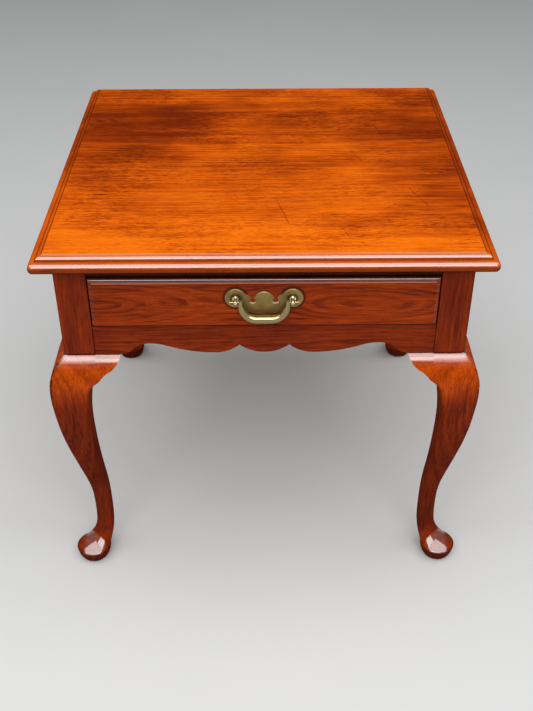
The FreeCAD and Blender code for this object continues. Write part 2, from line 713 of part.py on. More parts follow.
# Stop glued on each runner behind the closed drawer
def make_stop(side):
    body = new_body(f"drawer_stop_{side}")
    hand = 1 if side == "right" else -1
    near = f"({DRAWER_END} + dims.slide_clearance - {HALF_Y})"
    block = new_sketch(body, "XY_Plane", RUNNER_TOP)
    ends = sorted((f"{hand} * {near}", f"{hand} * ({near} + dims.stop_length)"), key=value)
    draw_outline(block, rectangle(*ends, "dims.post_size", "dims.post_size + dims.runner_width"))
    pad(body, block, "dims.stop_height")
    return place_on_side(body, side)


# Three tails on each corner, between the bottom and the top of the sides
TAIL_PLACE_SHARES = (0.18, 0.5, 0.82)
TAIL_NECK_SHARE = 0.15
TAIL_WIDE_SHARE = 0.21


def tails(root, tip, clearance="0"):
    """The dovetails of one corner, each from its neck at the root to its wide tip."""
    room = f"({SIDE_TOP} - {BOTTOM_TOP})"
    for share in TAIL_PLACE_SHARES:
        middle = f"({BOTTOM_TOP} + {share} * {room})"
        neck = f"({TAIL_NECK_SHARE} * {room} / 2 + {clearance})"
        wide = f"({TAIL_WIDE_SHARE} * {room} / 2 + {clearance})"
        yield [(root, f"{middle} - {neck}"), (tip, f"{middle} - {wide}"),
               (tip, f"{middle} + {wide}"), (root, f"{middle} + {neck}")]


def place_in_drawer(item):
    return place(item, y=f"-{HALF_Y}", z=DRAWER_LOW)


def cut_tail_sockets(body, root, tip):
    """Sockets for the sides' tails in both ends of the drawer's front or back."""
    for hand in (-1, 1):
        sockets = new_sketch(body, "YZ_Plane", f"{hand} * {DRAWER_HALF}")
        for corners in tails(root, tip, "dims.joint_clearance"):
            draw_outline(sockets, corners)
        pocket(body, sockets, "dims.drawer_side_thickness + dims.joint_clearance", reverse=hand < 0)


def make_drawer_front():
    body = new_body("drawer_front")
    board = new_sketch(body, "XZ_Plane", "dims.drawer_proud - dims.thumbnail_step")
    draw_outline(board, rectangle(f"-{DRAWER_HALF}", DRAWER_HALF, "0", FRONT_HEIGHT))
    pad(body, board, "dims.drawer_front_thickness - dims.thumbnail_step", reverse=True)
    doc.recompute()
    face = body.Tip.Shape.BoundBox.YMin

    def is_moulded(edge):
        box = edge.BoundBox
        return same(box.YMax, face) and not same(box.ZMax, 0)

    dress_edges(body, "Fillet", "dims.thumbnail_radius", is_moulded)
    field = new_sketch(body, "XZ_Plane", "dims.drawer_proud - dims.thumbnail_step")
    half = f"({DRAWER_HALF} - dims.thumbnail_inset)"
    draw_outline(field, rectangle(f"-{half}", half, "0", f"{FRONT_HEIGHT} - dims.thumbnail_inset"))
    pad(body, field, "dims.thumbnail_step")
    cut_tail_sockets(body, FRONT_BACK, f"({FRONT_BACK} - dims.front_tail_length - dims.joint_clearance)")
    groove = new_sketch(body, "XZ_Plane", f"-{FRONT_BACK}")
    reach = f"({SIDE_INNER} + dims.groove_depth)"
    draw_outline(groove, rectangle(f"-{reach}", reach, "dims.groove_height", GROOVE_TOP))
    pocket(body, groove, "dims.groove_depth", reverse=True)
    bores = new_sketch(body, "XZ_Plane", "dims.drawer_proud")
    for hand in (-1, 1):
        draw_circle(bores, f"{hand} * dims.pull_boring / 2", "dims.pull_height", SHANK_HOLE)
    pocket(body, bores, "dims.drawer_front_thickness")
    return place_in_drawer(body)


def make_drawer_side(name, hand):
    body = new_body(name)
    corners = [(FRONT_BACK, "0"), (DRAWER_BACK, "0")]
    for tail in tails(DRAWER_BACK, DRAWER_END):
        corners += tail
    corners += [(DRAWER_BACK, SIDE_TOP), (FRONT_BACK, SIDE_TOP)]
    for tail in reversed(list(tails(FRONT_BACK, f"({FRONT_BACK} - dims.front_tail_length)"))):
        corners += reversed(tail)
    board = draw_outline(new_sketch(body, "YZ_Plane", f"{hand} * {DRAWER_HALF}"), corners)
    pad(body, board, "dims.drawer_side_thickness", reverse=hand > 0)
    groove = new_sketch(body, "YZ_Plane", f"{hand} * {SIDE_INNER}")
    draw_outline(groove, rectangle(FRONT_BACK, DRAWER_BACK, "dims.groove_height", GROOVE_TOP))
    pocket(body, groove, "dims.groove_depth", reverse=hand > 0)
    return place_in_drawer(body)


def make_drawer_back():
    body = new_body("drawer_back")
    board = new_sketch(body, "XZ_Plane", f"-{DRAWER_BACK}")
    draw_outline(board, rectangle(f"-{DRAWER_HALF}", DRAWER_HALF, GROOVE_TOP, SIDE_TOP))
    pad(body, board, "dims.drawer_back_thickness", reverse=True)
    cut_tail_sockets(body, DRAWER_BACK, DRAWER_END)
    cut_brad_holes(body, GROOVE_TOP, "dims.brad_length - dims.drawer_bottom_thickness")
    return place_in_drawer(body)


def cut_brad_holes(body, low, depth):
    holes = new_sketch(body, "XY_Plane", low)
    for hand in (-1, 0, 1):
        radius = "dims.brad_diameter / 2 + dims.screw_clearance"
        draw_circle(holes, f"{hand} * dims.brad_place", BRAD_ROW, radius)
    pocket(body, holes, depth, reverse=True)


def make_drawer_bottom():
    body = new_body("drawer_bottom")
    half = f"({SIDE_INNER} + dims.groove_depth - dims.joint_clearance)"
    front = f"({FRONT_BACK} - dims.groove_depth + dims.joint_clearance)"
    panel = new_sketch(body, "XY_Plane", "dims.groove_height")
    draw_outline(panel, [(f"-{half}", front), (half, front), (half, DRAWER_BACK), (SIDE_INNER, DRAWER_BACK),
                         (SIDE_INNER, DRAWER_END), (f"-{SIDE_INNER}", DRAWER_END),
                         (f"-{SIDE_INNER}", DRAWER_BACK), (f"-{half}", DRAWER_BACK)])
    pad(body, panel, "dims.drawer_bottom_thickness")
    cut_brad_holes(body, "dims.groove_height", "dims.drawer_bottom_thickness")
    return place_in_drawer(body)


# Backplate of the pull: two round lobes, keyhole notches and a low dome, its points shares of the
# boring. Keyhole from the dome's end round to the shoulder, then the shoulder's tip
KEYHOLE_SHARES = ((0.1743, -0.001), (0.2021, -0.0892), (0.2299, -0.001))
KEYHOLE_RADIUS_SHARE = 0.0486
SHOULDER_SHARES = (0.2441, 0.0341)
SHOULDER_RADIUS_SHARE = 0.105
# Heights where the lobe meets the shoulder and the waist, as shares of its radius, then the
# corner of the lower edge
LOBE_TOP_SHARE = 0.4368
LOBE_LOW_SHARE = -0.8876
WAIST_RADIUS_SHARE = 0.17
LOWER_SHARES = (0.336, -0.26)
LOWER_RADIUS_SHARE = 0.86
DOME_RADIUS_SHARE = 0.18


def plate_outline():
    """Outline of the plate from the right end of its dome, clockwise seen from the front."""

    def of_boring(share):
        return f"({share} * dims.pull_boring)"

    def on_lobe(share):
        rise = f"({share} * dims.lobe_radius)"
        return f"(dims.pull_boring / 2 - sqrt(dims.lobe_radius ^ 2 - {rise} ^ 2))", rise

    start, bottom, end = [(of_boring(x), of_boring(y)) for x, y in KEYHOLE_SHARES]
    keyhole = (of_boring(KEYHOLE_RADIUS_SHARE), 1)
    lobe = ("dims.lobe_radius", -1)
    half = [
        (*start, *keyhole),
        (*bottom, *keyhole),
        end,
        (*[of_boring(share) for share in SHOULDER_SHARES], of_boring(SHOULDER_RADIUS_SHARE), -1),
        (*on_lobe(LOBE_TOP_SHARE), *lobe),
        ("dims.pull_boring / 2 + dims.lobe_radius", "0", *lobe),
        (*on_lobe(LOBE_LOW_SHARE), of_boring(WAIST_RADIUS_SHARE), 1),
        (*[of_boring(share) for share in LOWER_SHARES], of_boring(LOWER_RADIUS_SHARE), -1),
    ]
    outline = mirrored(half)
    outline[-1] = (*outline[-1], of_boring(DOME_RADIUS_SHARE), -1)
    return [(x, f"dims.pull_height + {y}", *arc) for x, y, *arc in outline]


def make_backplate():
    body = new_body("pull_backplate")
    plate = draw_outline(new_sketch(body, "XZ_Plane", "dims.drawer_proud"), plate_outline())
    pad(body, plate, "dims.plate_thickness")
    doc.recompute()
    face = body.Tip.Shape.BoundBox.YMin

    def is_long_front_edge(edge):
        return same(edge.BoundBox.YMax, face) and edge.Length > value("dims.lobe_radius")

    dress_edges(body, "Chamfer", "dims.plate_bevel", is_long_front_edge)
    bores = new_sketch(body, "XZ_Plane", "dims.drawer_proud + dims.plate_thickness")
    for hand in (-1, 1):
        draw_circle(bores, f"{hand} * dims.pull_boring / 2", "dims.pull_height", SHANK_HOLE)
    pocket(body, bores, "dims.plate_thickness")
    return place_in_drawer(body)


# Turned post: threaded shank through the drawer front, collar, neck with an eye and a round nose
def make_pull_post(name, hand):
    body = new_body(name)
    shank = "(dims.pull_shank_diameter / 2)"
    neck = "(dims.pull_post_diameter / 2)"
    collar = "(dims.pull_collar_diameter / 2)"
    nose = f"({PIN_AXIS} - dims.pull_post_nose)"
    end = f"({NUT_SEAT} + dims.nut_thickness + dims.shank_end)"
    front = f"({PLATE_FACE} - dims.pull_collar_thickness)"
    profile = new_sketch(body, "XY_Plane", "dims.pull_height", across=f"{hand} * dims.pull_boring / 2")
    draw_outline(profile, [("0", end), ("0", nose, neck, 1), (neck, f"{nose} + {neck}"), (neck, front),
                           (collar, front), (collar, PLATE_FACE), (shank, PLATE_FACE), (shank, end)])
    turned = body.newObject("PartDesign::Revolution", f"{name}_turned")
    turned.Profile = profile
    turned.ReferenceAxis = (profile, ["V_Axis"])
    eye = new_sketch(body, "YZ_Plane", f"{hand} * dims.pull_boring / 2 + dims.pull_post_diameter")
    draw_circle(eye, PIN_AXIS, "dims.pull_height", "dims.pin_diameter / 2 + dims.pin_clearance")
    pocket(body, eye, "2 * dims.pull_post_diameter")
    return place_in_drawer(body)


# Bail: a cast bow, thickest in the middle, with a thin pin turned out of each arm
def make_bail():
    body = new_body("pull_bail")
    level = "dims.pull_height"
    arm_top = f"{level} + dims.bail_arm_rise"
    bend_top = f"{level} - (dims.bail_drop - dims.bail_bend_radius)"
    bar_level = f"{level} - dims.bail_drop"
    bar = f"({BAIL_SPREAD} - dims.bail_bend_radius)"
    bend = ("dims.bail_bend_radius", 1)
    spine = new_sketch(body, "XZ_Plane", f"-{PIN_AXIS}")
    points = [(f"-{BAIL_SPREAD}", arm_top), (f"-{BAIL_SPREAD}", bend_top, *bend), (f"-{bar}", bar_level),
              (bar, bar_level, *bend), (BAIL_SPREAD, bend_top), (BAIL_SPREAD, arm_top)]
    draw_outline(spine, points, closed=False)
    ends = []
    for hand in (-1, 1):
        arm = new_sketch(body, "XY_Plane", arm_top)
        ends.append(draw_circle(arm, f"{hand} * {BAIL_SPREAD}", PIN_AXIS, "dims.bail_arm_diameter / 2"))
    swell = new_sketch(body, "YZ_Plane")
    draw_circle(swell, PIN_AXIS, bar_level, "dims.bail_swell_diameter / 2")
    bow = body.newObject("PartDesign::AdditivePipe", "pull_bail_bow")
    bow.Profile = (ends[0], [""])
    bow.Spine = (spine, [])
    bow.Sections = [(swell, [""]), (ends[1], [""])]
    bow.Transformation = "Multisection"
    for hand in (-1, 1):
        pin = new_sketch(body, "YZ_Plane", f"{hand} * {BAIL_SPREAD}")
        draw_circle(pin, PIN_AXIS, level, "dims.pin_diameter / 2")
        pad(body, pin, f"dims.pull_boring / 2 + dims.pin_end - {BAIL_SPREAD}", reverse=hand < 0)
    return place_in_drawer(body)


# Fasteners, each kind a group of separate solids
def solid(kind, sizes):
    item = doc.addObject(f"Part::{kind}", kind.lower())
    for name, expression in sizes.items():
        item.setExpression(name, expression)
    return item


def fused(pieces):
    item = doc.addObject("Part::MultiFuse", "fused")
    item.Shapes = pieces
    return item


def group(name, pieces):
    item = doc.addObject("Part::Compound", name)
    item.Label = name
    item.Links = pieces
    return item


def make_screw(length):
    """Flat-head wood screw, its head face at the origin and its tip up."""
    shank = "dims.screw_diameter / 2"
    head_rise = "(dims.screw_head_diameter - dims.screw_diameter) / 2"
    head = solid("Cone", {"Radius1": "dims.screw_head_diameter / 2", "Radius2": shank, "Height": head_rise})
    body = solid("Cylinder", {"Radius": shank, "Height": f"{length} - dims.screw_tip_length"})
    tip = solid("Cone", {"Radius1": shank, "Height": "dims.screw_tip_length"})
    tip.Radius2 = 0
    place(tip, z=f"{length} - dims.screw_tip_length")
    return fused([head, body, tip])


def make_top_screws():
    screws = []
    for x, y in TOP_SCREWS:
        screws.append(place(make_screw("dims.top_screw_length"), x, y, RAIL_LOW))
    return group("top_screws", screws)


def make_guide_screws():
    screws = []
    for hand in (-1, 1):
        for end in (-1, 0, 1):
            screw = make_screw("dims.guide_screw_length")
            place(screw, f"{hand} * {SPAN_X}", f"{end} * dims.long_screw_place", GUIDE_SCREW_HEIGHT)
            screw.Placement.Rotation = Rotation(Vector(0, 1, 0), hand * QUARTER_TURN)
            screws.append(screw)
    return group("guide_screws", screws)


def make_brads():
    brads = []
    panel_low = f"{DRAWER_LOW} + dims.groove_height"
    head_sizes = {"Radius": "dims.brad_head_diameter / 2", "Height": "dims.brad_head_thickness"}
    shank_sizes = {"Radius": "dims.brad_diameter / 2", "Height": "dims.brad_length"}
    for hand in (-1, 0, 1):
        head = place(solid("Cylinder", head_sizes), z="-dims.brad_head_thickness")
        brad = fused([head, solid("Cylinder", shank_sizes)])
        brads.append(place(brad, f"{hand} * dims.brad_place", f"{BRAD_ROW} - {HALF_Y}", panel_low))
    return group("bottom_brads", brads)


def make_ring(blank, thickness, hand, seat):
    """Bore a washer or a nut and put it on one post, against its seat behind the drawer front."""
    bore = "dims.pull_shank_diameter / 2 + dims.pin_clearance"
    ring = doc.addObject("Part::Cut", "ring")
    ring.Base = blank
    ring.Tool = solid("Cylinder", {"Radius": bore, "Height": thickness})
    place(ring, f"{hand} * dims.pull_boring / 2", f"{seat} - {HALF_Y}", f"{DRAWER_LOW} + dims.pull_height")
    ring.Placement.Rotation = Rotation(Vector(1, 0, 0), -QUARTER_TURN)
    return ring


def make_pull_nuts():
    """A washer and a hexagon nut on each post."""
    rings = []
    washer_sizes = {"Radius": "dims.washer_diameter / 2", "Height": "dims.washer_thickness"}
    nut_sizes = {"Circumradius": "dims.nut_width / sqrt(3)", "Height": "dims.nut_thickness"}
    for hand in (-1, 1):
        rings.append(make_ring(solid("Cylinder", washer_sizes), "dims.washer_thickness", hand, FRONT_BACK))
        rings.append(make_ring(solid("Prism", nut_sizes), "dims.nut_thickness", hand, NUT_SEAT))
    return group("pull_nuts", rings)


pieces = [make_top()]
pieces.append(make_leg("leg_back_right", 0, HALF_X, HALF_Y))
pieces.append(make_leg("leg_back_left", 1, f"-{HALF_X}", HALF_Y))
pieces.append(make_leg("leg_front_left", 2, f"-{HALF_X}", f"-{HALF_Y}", "x"))
pieces.append(make_leg("leg_front_right", 3, HALF_X, f"-{HALF_Y}", "y"))
for side in SIDES:
    pieces.append(make_apron(side, APRON_TOP if side == "front" else POST_TOP))
for side, ends in (("front", ("left", "right")), ("right", ("front", "back")),
                   ("back", ("right", "left")), ("left", ("back", "front"))):
    for end, hand in zip(ends, (1, -1)):
        pieces.append(make_knee_block(side, end, hand))
pieces.append(make_front_rail())
pieces.append(make_top_strip("back_cleat", "back", SPAN_X, f"({APRON_BACK} + dims.cleat_width)",
                             "dims.cross_screw_place", CLEAT_MIDDLE))
for side in ("left", "right"):
    pieces.append(make_top_strip(f"kicker_{side}", side, SPAN_Y, KICKER_INNER,
                                 "dims.long_screw_place", KICKER_MIDDLE))
    pieces.append(make_runner(side))
    pieces.append(make_guide(side))
    pieces.append(make_stop(side))
pieces.append(make_drawer_front())
pieces.append(make_drawer_side("drawer_side_left", -1))
pieces.append(make_drawer_side("drawer_side_right", 1))
pieces.append(make_drawer_back())
pieces.append(make_drawer_bottom())
pieces.append(make_backplate())
pieces.append(make_pull_post("pull_post_left", -1))
pieces.append(make_pull_post("pull_post_right", 1))
pieces.append(make_bail())
pieces.append(make_pull_nuts())
pieces.append(make_top_screws())
pieces.append(make_guide_screws())
pieces.append(make_brads())

doc.recompute()
for item in doc.Objects:
    if "Invalid" in item.State or "Error" in item.State:
        raise ValueError(f"{item.Label} failed: {item.State}")
for piece in pieces:
    if piece.Shape.isNull() or not piece.Shape.isValid():
        raise ValueError(f"{piece.Label} has no valid shape")

os.makedirs("parts", exist_ok=True)
for piece in pieces:
    piece.Shape.exportStep(f"parts/{piece.Label}.step")
    print(piece.Label, len(piece.Shape.Solids), round(piece.Shape.Volume / 1000, 1))
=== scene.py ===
"""Looks of a square one-drawer side table in lacquered cherry, with a brass bail pull."""
import bpy
import math
from mathutils import Matrix, Vector


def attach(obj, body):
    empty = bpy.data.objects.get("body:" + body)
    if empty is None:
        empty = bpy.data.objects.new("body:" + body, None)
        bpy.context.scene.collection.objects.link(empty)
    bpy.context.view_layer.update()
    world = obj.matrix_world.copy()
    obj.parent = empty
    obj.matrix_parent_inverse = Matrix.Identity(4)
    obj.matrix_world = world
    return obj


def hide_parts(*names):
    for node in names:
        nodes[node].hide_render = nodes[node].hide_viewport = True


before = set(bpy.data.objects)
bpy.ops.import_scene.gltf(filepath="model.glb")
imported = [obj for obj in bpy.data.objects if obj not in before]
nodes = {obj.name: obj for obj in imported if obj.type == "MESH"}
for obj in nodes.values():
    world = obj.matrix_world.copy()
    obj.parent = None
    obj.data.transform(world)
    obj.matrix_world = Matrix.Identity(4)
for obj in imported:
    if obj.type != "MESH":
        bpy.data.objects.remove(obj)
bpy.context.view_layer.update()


# Table top: five cherry boards glued edge to edge, moulded all round and lacquered to a gloss.
# Old glaze sits in the moulding's quirks, and the field shows stains and scratches from use.
# Screws hold it from below.
class Shade:
    """A socket in the nodes of a material or of a Geometry Nodes tree. Sums on it add Math nodes."""

    def __init__(self, tree, socket=None):
        self.tree = tree
        self.socket = socket

    def node(self, kind, settings=None, sockets=None, output=0):
        """Add a node: its settings first, then the values or links of its sockets."""
        made = self.tree.nodes.new(kind)
        for setting, given in (settings or {}).items():
            if setting == "stops":
                ramp = made.color_ramp.elements
                while len(ramp) < len(given):
                    ramp.new(1.0)
                for stop, (place, colour) in zip(ramp, given):
                    stop.position = place
                    stop.color = colour
            elif setting == "choices":
                while len(made.index_switch_items) < given:
                    made.index_switch_items.new()
            else:
                setattr(made, setting, given)
        for key, given in (sockets or {}).items():
            if isinstance(given, Shade):
                self.tree.links.new(given.socket, made.inputs[key])
            else:
                made.inputs[key].default_value = given
        return Shade(self.tree, made.outputs[output])

    def math(self, operation, *terms):
        return self.node("ShaderNodeMath", {"operation": operation}, dict(enumerate(terms)))

    def __add__(self, other):
        return self.math("ADD", self, other)

    def __sub__(self, other):
        return self.math("SUBTRACT", self, other)

    def __rsub__(self, other):
        return self.math("SUBTRACT", other, self)

    def __mul__(self, other):
        return self.math("MULTIPLY", self, other)

    def __truediv__(self, other):
        return self.math("DIVIDE", self, other)

    def __pow__(self, other):
        return self.math("POWER", self, other)

    __radd__ = __add__
    __rmul__ = __mul__

    def __abs__(self):
        return self.math("ABSOLUTE", self)

    def most(self, other):
        return self.math("MAXIMUM", self, other)

    def least(self, other):
        return self.math("MINIMUM", self, other)

    def apart(self, other):
        """How far off a point is that lies this far one way and other far square to it."""
        return (self ** 2.0 + other ** 2.0) ** 0.5

    def rise(self, low, high):
        """A smooth step from 0 at low to 1 at high, or the other way round."""
        return self.node("ShaderNodeMapRange", {"interpolation_type": "SMOOTHSTEP"},
                         {0: self, 1: low, 2: high, 3: 0.0, 4: 1.0})

    def near(self, place, reach, core):
        """1 within core of a place, fading to 0 at reach."""
        return abs(self - place).rise(reach, core)

    def axes(self):
        return [self.node("ShaderNodeSeparateXYZ", sockets={0: self}, output=axis) for axis in range(3)]

    def vector(self, x, y, z):
        return self.node("ShaderNodeCombineXYZ", sockets={0: x, 1: y, 2: z})

    def stretch(self, x, y, z):
        return self.node("ShaderNodeVectorMath", {"operation": "MULTIPLY"}, {0: self, 1: (x, y, z)})

    def noise(self, detail=2.0, rough=0.5, bent=0.0):
        return self.node("ShaderNodeTexNoise", {"noise_dimensions": "3D"},
                         {"Vector": self, "Scale": 1.0, "Detail": detail, "Roughness": rough, "Distortion": bent})

    def bands(self, detail=2.0):
        """Uneven bands along a value, as growth rings are."""
        return self.node("ShaderNodeTexNoise", {"noise_dimensions": "1D"},
                         {"W": self, "Scale": 1.0, "Detail": detail, "Roughness": 0.6})

    def chance(self, seed):
        """A number from 0 to 1 that is the same for the same value."""
        return self.node("ShaderNodeTexWhiteNoise", {"noise_dimensions": "1D"}, {"W": self + seed})

    def blend(self, first, second):
        """Mix two colours by this value."""
        return self.node("ShaderNodeMix", {"data_type": "RGBA"}, {0: self, 6: first, 7: second}, output=2)

    def ramp(self, stops):
        """Colours along this value."""
        return self.node("ShaderNodeValToRGB", {"stops": stops}, {0: self})


class Finish:
    """A new material with its shader, and where its patterns are read from."""

    def __init__(self, name):
        self.material = bpy.data.materials.new(name)
        self.material.use_nodes = True
        self.tree = self.material.node_tree
        self.shader = self.tree.nodes["Principled BSDF"]
        self.place = Shade(self.tree).node("ShaderNodeTexCoord", output=3)

    def facing(self):
        """How far a face looks along each axis, from -1 to 1."""
        return self.place.node("ShaderNodeTexCoord", output=1).axes()

    def set(self, **values):
        """Give the shader's sockets plain values or links, by their names with _ for a space."""
        for key, given in values.items():
            socket = self.shader.inputs[key.replace("_", " ")]
            if isinstance(given, Shade):
                self.tree.links.new(given.socket, socket)
            else:
                socket.default_value = given

    def bump(self, height, depth):
        normal = height.node("ShaderNodeBump", sockets={"Height": height, "Strength": 1.0, "Distance": depth})
        self.set(Normal=normal)

    def wear(self, *names):
        """Put the finish on CAD nodes."""
        for name in names:
            mesh = nodes[name].data
            mesh.materials.clear()
            mesh.materials.append(self.material)


def lacquer(finish, roughness, polish):
    """A hard clear coat: worn thin on flat faces that are wiped, full where polish is 1."""
    finish.set(Roughness=roughness, Specular_IOR_Level=0.0, Coat_Weight=0.03 + polish * 0.97,
               Coat_Roughness=0.08, Coat_IOR=2.5)


def ledges(finish, low=0.6, high=0.68):
    """1 on faces that lean back towards the sky, where hands and cloths seldom rub."""
    return finish.facing()[2].rise(low, high)


def grain(place, along, pith, ring_gap, wander, seed=0.0):
    """Rings and their late-wood lines, dashes, streaks, fibres, pores and mottle of sawn wood, from 0 to 1.

    along is the axis the tree grew on and pith the distance from its heart. ring_gap is the rings' spacing
    and wander how far they stray, in metres."""
    def marks(length, width):
        """Where to read a pattern whose marks are so long and wide, in metres."""
        sizes = [1.0 / width] * 3
        sizes[along] = 1.0 / length
        return place.stretch(*sizes)

    slow = marks(0.55, 0.11).noise(2.0) - 0.5
    quick = marks(0.09, 0.022).noise(2.0) - 0.5
    ring = (pith + slow * wander + quick * (wander * 0.16)) / ring_gap + seed
    late = ring.math("FRACT", ring)
    kept = marks(0.10, 0.018).noise(2.0).rise(0.36, 0.56)
    return {
        "ring": ring.bands(3.0).rise(0.28, 0.72),
        "line": late.rise(0.35, 0.9) * late.rise(1.0, 0.92) * kept,
        "dash": marks(0.036, 0.0021).noise(2.0, 0.6).rise(0.56, 0.68),
        "streak": marks(0.09, 0.0034).noise(4.0, 0.65).rise(0.25, 0.75),
        "fibre": marks(0.03, 0.0011).noise(2.0).rise(0.3, 0.7),
        "pore": marks(0.011, 0.0009).noise(1.0).rise(0.60, 0.72),
        "mottle": marks(0.09, 0.05).noise(3.0, 0.55).rise(0.25, 0.75),
    }


def mixed(figure, **shares):
    """Add up the parts of a grain, each by its share."""
    return sum(figure[part] * share for part, share in shares.items())


def bared(where, colour, tone, dark, pale):
    """Leave wood without toner or lacquer where the value is 1."""
    return where.blend(colour, (tone * 0.8 + 0.2).blend(dark, pale))


TOP_HALF = 0.305
TOP_FACE = 0.565
BOARD_EDGES = (-0.185, -0.048, 0.085, 0.217)
WOOD_RELIEF = 0.00008
top_wood = Finish("top_cherry")
x, y, z = top_wood.place.axes()
board = 0.0
for edge in BOARD_EDGES:
    board = y.math("GREATER_THAN", y, edge) + board
chance = board.chance(0.37)
heart_y = board * 0.125 - 0.24 + chance * 0.08
heart_depth = z - TOP_FACE + 0.035 + board.chance(7.91) * 0.06
heart = (y - heart_y).apart(heart_depth)
figure = grain(top_wood.place, 0, heart, 0.0075, 0.03, board * 13.7)

# The boards' tone: each its own, curled in patches, paler along the front and back, plain at its ends
curl = top_wood.place.stretch(80.0, 330.0, 200.0).noise(3.0, 0.6, 0.7).rise(0.38, 0.56)
curl_patch = top_wood.place.stretch(7.0, 11.0, 7.0).noise(2.0).rise(0.36, 0.62)
front_strip = y.rise(-0.12, -0.27)
back_strip = y.rise(0.12, 0.24)
board_end = abs(x).rise(0.284, 0.2895)
tone = mixed(figure, ring=0.16, streak=0.22, mottle=0.26, fibre=0.12, dash=-0.2, line=-0.1) + 0.06
tone = tone + chance * 0.16 - y * 0.3 + front_strip * 0.16 + back_strip * 0.1 - (1.0 - curl) * curl_patch * 0.26
tone = tone * (1.0 - board_end) + (0.40 + figure["mottle"] * 0.2 - y * 0.3) * board_end

# Old stains with ragged edges: middle, half sizes and strength
STAINS = (
    (-0.215, 0.09, 0.13, 0.14, 0.85),
    (-0.10, 0.20, 0.09, 0.05, 0.45),
    (0.285, 0.02, 0.10, 0.28, 0.6),
    (0.20, -0.20, 0.11, 0.035, 0.5),
    (0.08, -0.02, 0.12, 0.03, 0.25),
    (-0.20, -0.16, 0.12, 0.02, 0.3),
)
ragged = (top_wood.place.stretch(10.0, 30.0, 10.0).noise(4.0, 0.65) - 0.5) * 1.1
stain = 0.0
for stain_x, stain_y, half_x, half_y, strength in STAINS:
    reach = ((x - stain_x) / half_x).apart((y - stain_y) / half_y) + ragged
    stain = reach.rise(1.5, 0.1) * strength + stain
tone = tone - stain * 0.4
colour = tone.ramp((
    (0.0, (0.15, 0.015, 0.001, 1.0)),
    (0.30, (0.32, 0.040, 0.001, 1.0)),
    (0.55, (0.55, 0.084, 0.002, 1.0)),
    (0.85, (0.78, 0.150, 0.003, 1.0)),
))

# Scratches, each from one point to another, and small dark specks on the field
SCRATCHES = (
    (0.093, 0.104, 0.171, 0.165), (0.177, 0.138, 0.188, 0.078), (0.132, 0.040, 0.151, -0.017),
    (0.164, -0.174, 0.230, -0.102), (0.017, -0.125, 0.035, -0.213), (0.208, -0.097, 0.232, -0.165),
    (0.106, -0.220, 0.115, -0.250), (0.128, -0.126, 0.197, -0.107), (0.171, 0.165, 0.256, 0.170),
)
SCRATCH_COLOUR = (0.06, 0.010, 0.002, 1.0)
TOP_PORE_COLOUR = (0.10, 0.02, 0.004, 1.0)
wobble = (top_wood.place.stretch(24.0, 24.0, 1.0).noise(1.0) - 0.5) * 0.007
scratch = 0.0
for from_x, from_y, to_x, to_y in SCRATCHES:
    run = math.hypot(to_x - from_x, to_y - from_y)
    way_x, way_y = (to_x - from_x) / run, (to_y - from_y) / run
    down = ((x - from_x) * way_x + (y - from_y) * way_y) / run
    off = abs((x - from_x) * -way_y + (y - from_y) * way_x + wobble)
    ends = down.rise(0.0, 0.1) * down.rise(1.0, 0.88)
    scratch = off.rise(0.0013, 0.0002) * ends + scratch
scratch = scratch * top_wood.place.stretch(130.0, 130.0, 1.0).noise(2.0).rise(0.30, 0.60)
inset = TOP_HALF - abs(x).most(abs(y))
on_field = inset.rise(0.02, 0.03)
speck = top_wood.place.stretch(95.0, 260.0, 1.0).noise(2.0, 0.6, 0.5).rise(0.66, 0.74) * on_field
colour = (scratch * 0.62).most(speck * 0.5).blend(colour, SCRATCH_COLOUR)
colour = (figure["pore"] * 0.35).blend(colour, TOP_PORE_COLOUR)

# The moulding, by how far it lies in from the edge: redder than the field, with glaze left in its quirks,
# painted shade on the nose's lower part and a painted shadow along its bottom edge, a painted highlight
# on the front arris of the field, and the underside left bare
FIELD_INSET = 0.0172
QUIRK_INSET = 0.0106
SIDE_QUIRK_INSET = 0.0098
# Toner for the moulding, painted shade for the nose, a painted highlight for the front arris, and a glaze that
# also serves as painted shadow under the nose
MOULDING_TONER = (0.20, 0.022, 0.003, 1.0)
NOSE_SHADE = (0.10, 0.010, 0.003, 1.0)
FRONT_ARRIS_HIGHLIGHT = (0.88, 0.42, 0.24, 1.0)
TOP_GLAZE_AND_SHADOW = (0.012, 0.002, 0.001, 1.0)
at_side = (abs(x) - abs(y)).rise(-0.001, 0.001)
field_edge = inset.near(FIELD_INSET, 0.0014, 0.0002)
quirk = (field_edge * at_side * 0.85).most(inset.near(QUIRK_INSET, 0.0012, 0.0002) * 0.35)
quirk = quirk.most(inset.near(SIDE_QUIRK_INSET, 0.0017, 0.0005) * at_side * 0.8)
moulded = inset.rise(0.0178, 0.0168)
# Painted shade on the nose's lower part, and a nearly black painted shadow along its bottom edge
shaded_nose = inset.rise(0.006, 0.004) * z.rise(0.5545, 0.5510)
nose_bottom_shadow = z.rise(0.5474, 0.5452)
underside = top_wood.facing()[2].rise(-0.9, -0.98) * z.rise(0.5445, 0.5435)
colour = (moulded * (0.42 - board_end * 0.36)).blend(colour, MOULDING_TONER)
# Painted shade on the nose, a painted highlight on the field's front arris, glaze in the quirks and painted shadow
# under the nose
colour = (shaded_nose * 0.66).blend(colour, NOSE_SHADE)
colour = (field_edge * (1.0 - at_side) * 0.55).blend(colour, FRONT_ARRIS_HIGHLIGHT)
colour = quirk.most(nose_bottom_shadow * 0.95).blend(colour, TOP_GLAZE_AND_SHADOW)
colour = bared(underside, colour, tone, dark=(0.10, 0.035, 0.012, 1.0), pale=(0.34, 0.15, 0.06, 1.0))
top_wood.set(Base_Color=colour)
lacquer(top_wood, 0.2 + figure["mottle"] * 0.08 + stain * 0.1 + scratch * 0.2,
        moulded * ledges(top_wood, 0.3, 0.42) * (1.0 - at_side))
top_wood.bump(figure["fibre"] * 0.4 - figure["pore"] - scratch * 2.0, WOOD_RELIEF)
top_wood.wear("table_top")


